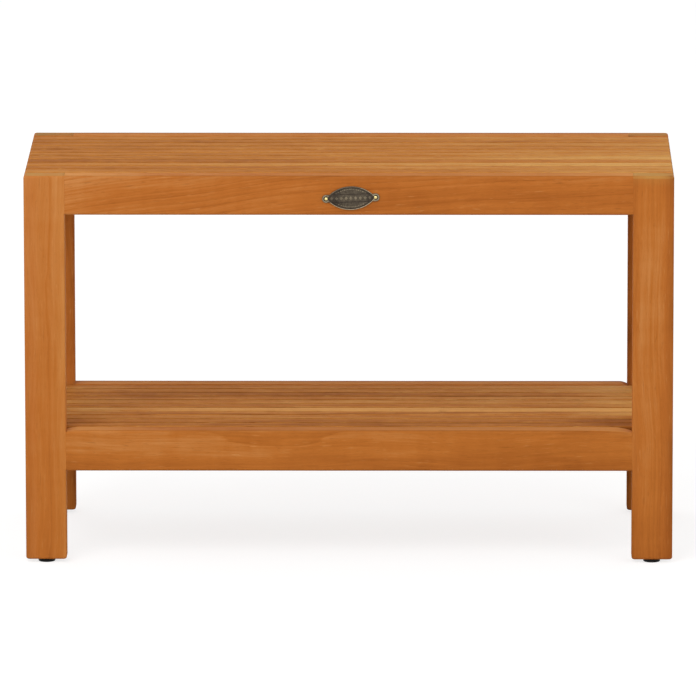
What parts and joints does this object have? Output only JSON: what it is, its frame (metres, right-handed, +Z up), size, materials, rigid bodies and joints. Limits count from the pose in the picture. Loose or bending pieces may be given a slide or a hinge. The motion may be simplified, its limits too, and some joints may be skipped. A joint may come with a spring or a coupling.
{
  "type": "slatted teak shower bench with shelf",
  "caption": "Slatted teak bench with a lower slatted shelf, full-height legs, a small metal plaque and screw-in levelling feet.",
  "frame": {"origin": "on the floor under the middle of the bench, with the feet screwed fully in", "axes": "+X along the bench to the right as seen from the front, +Y from front to back, +Z up"},
  "size_m": [0.762, 0.3073, 0.463],
  "materials": {
    "teak_frame": "oiled satin",
    "teak_slats": "oiled satin",
    "teak_supports": "oiled satin",
    "dowel_wood": "bare",
    "stainless_screws": "plain",
    "brass_inserts": "machined",
    "foot_nylon": "moulded",
    "foot_steel": "zinc plated",
    "plaque_bronze": "darkened",
    "pin_brass": "polished"
  },
  "bodies": {
    "frame": {"front_left_leg": "teak_frame", "front_right_leg": "teak_frame", "rear_left_leg": "teak_frame", "rear_right_leg": "teak_frame", "seat_front_rail": "teak_frame", "seat_rear_rail": "teak_frame", "shelf_front_rail": "teak_frame", "shelf_rear_rail": "teak_frame", "seat_left_rail": "teak_supports", "seat_right_rail": "teak_supports", "shelf_left_rail": "teak_supports", "shelf_right_rail": "teak_supports", "seat_batten": "teak_supports", "shelf_batten": "teak_supports", "seat_slat_1": "teak_slats", "seat_slat_2": "teak_slats", "seat_slat_3": "teak_slats", "seat_slat_4": "teak_slats", "seat_slat_5": "teak_slats", "seat_slat_6": "teak_slats", "seat_slat_7": "teak_slats", "seat_slat_8": "teak_slats", "seat_slat_9": "teak_slats", "seat_slat_10": "teak_slats", "seat_slat_11": "teak_slats", "shelf_slat_1": "teak_slats", "shelf_slat_2": "teak_slats", "shelf_slat_3": "teak_slats", "shelf_slat_4": "teak_slats", "shelf_slat_5": "teak_slats", "shelf_slat_6": "teak_slats", "shelf_slat_7": "teak_slats", "shelf_slat_8": "teak_slats", "shelf_slat_9": "teak_slats", "shelf_slat_10": "teak_slats", "shelf_slat_11": "teak_slats", "seat_rail_dowels": "dowel_wood", "shelf_rail_dowels": "dowel_wood", "seat_side_dowels": "dowel_wood", "shelf_side_dowels": "dowel_wood", "seat_slat_screws": "stainless_screws", "shelf_slat_screws": "stainless_screws", "leg_inserts": "brass_inserts", "plaque": "plaque_bronze", "plaque_pins": "pin_brass"},
    "front_left_foot": {"front_left_foot_pad": "foot_nylon"},
    "front_left_stud": {"front_left_foot_stud": "foot_steel"},
    "front_right_foot": {"front_right_foot_pad": "foot_nylon"},
    "front_right_stud": {"front_right_foot_stud": "foot_steel"},
    "rear_left_foot": {"rear_left_foot_pad": "foot_nylon"},
    "rear_left_stud": {"rear_left_foot_stud": "foot_steel"},
    "rear_right_foot": {"rear_right_foot_pad": "foot_nylon"},
    "rear_right_stud": {"rear_right_foot_stud": "foot_steel"}
  },
  "joints": [
    {"name": "front_left_foot_extend", "type": "slide", "parent": "frame", "child": "front_left_foot", "axis": [0, 0, -1], "range_m": [0, 0.0075]},
    {"name": "front_left_stud_turn", "type": "hinge", "parent": "front_left_foot", "child": "front_left_stud", "pos_m": [-0.357, -0.14, 0], "axis": [0, 0, -1], "range_deg": [0, 2161]},
    {"name": "front_right_foot_extend", "type": "slide", "parent": "frame", "child": "front_right_foot", "axis": [0, 0, -1], "range_m": [0, 0.0075]},
    {"name": "front_right_stud_turn", "type": "hinge", "parent": "front_right_foot", "child": "front_right_stud", "pos_m": [0.357, -0.14, 0], "axis": [0, 0, -1], "range_deg": [0, 2161]},
    {"name": "rear_left_foot_extend", "type": "slide", "parent": "frame", "child": "rear_left_foot", "axis": [0, 0, -1], "range_m": [0, 0.0075]},
    {"name": "rear_left_stud_turn", "type": "hinge", "parent": "rear_left_foot", "child": "rear_left_stud", "pos_m": [-0.357, 0.14, 0], "axis": [0, 0, -1], "range_deg": [0, 2161]},
    {"name": "rear_right_foot_extend", "type": "slide", "parent": "frame", "child": "rear_right_foot", "axis": [0, 0, -1], "range_m": [0, 0.0075]},
    {"name": "rear_right_stud_turn", "type": "hinge", "parent": "rear_right_foot", "child": "rear_right_stud", "pos_m": [0.357, 0.14, 0], "axis": [0, 0, -1], "range_deg": [0, 2161]}
  ],
  "couplings": [
    {"joint": "front_left_stud_turn", "follows": "front_left_foot_extend", "rad_per_m": 5026.5},
    {"joint": "front_right_stud_turn", "follows": "front_right_foot_extend", "rad_per_m": 5026.5},
    {"joint": "rear_left_stud_turn", "follows": "rear_left_foot_extend", "rad_per_m": 5026.5},
    {"joint": "rear_right_stud_turn", "follows": "rear_right_foot_extend", "rad_per_m": 5026.5}
  ]
}
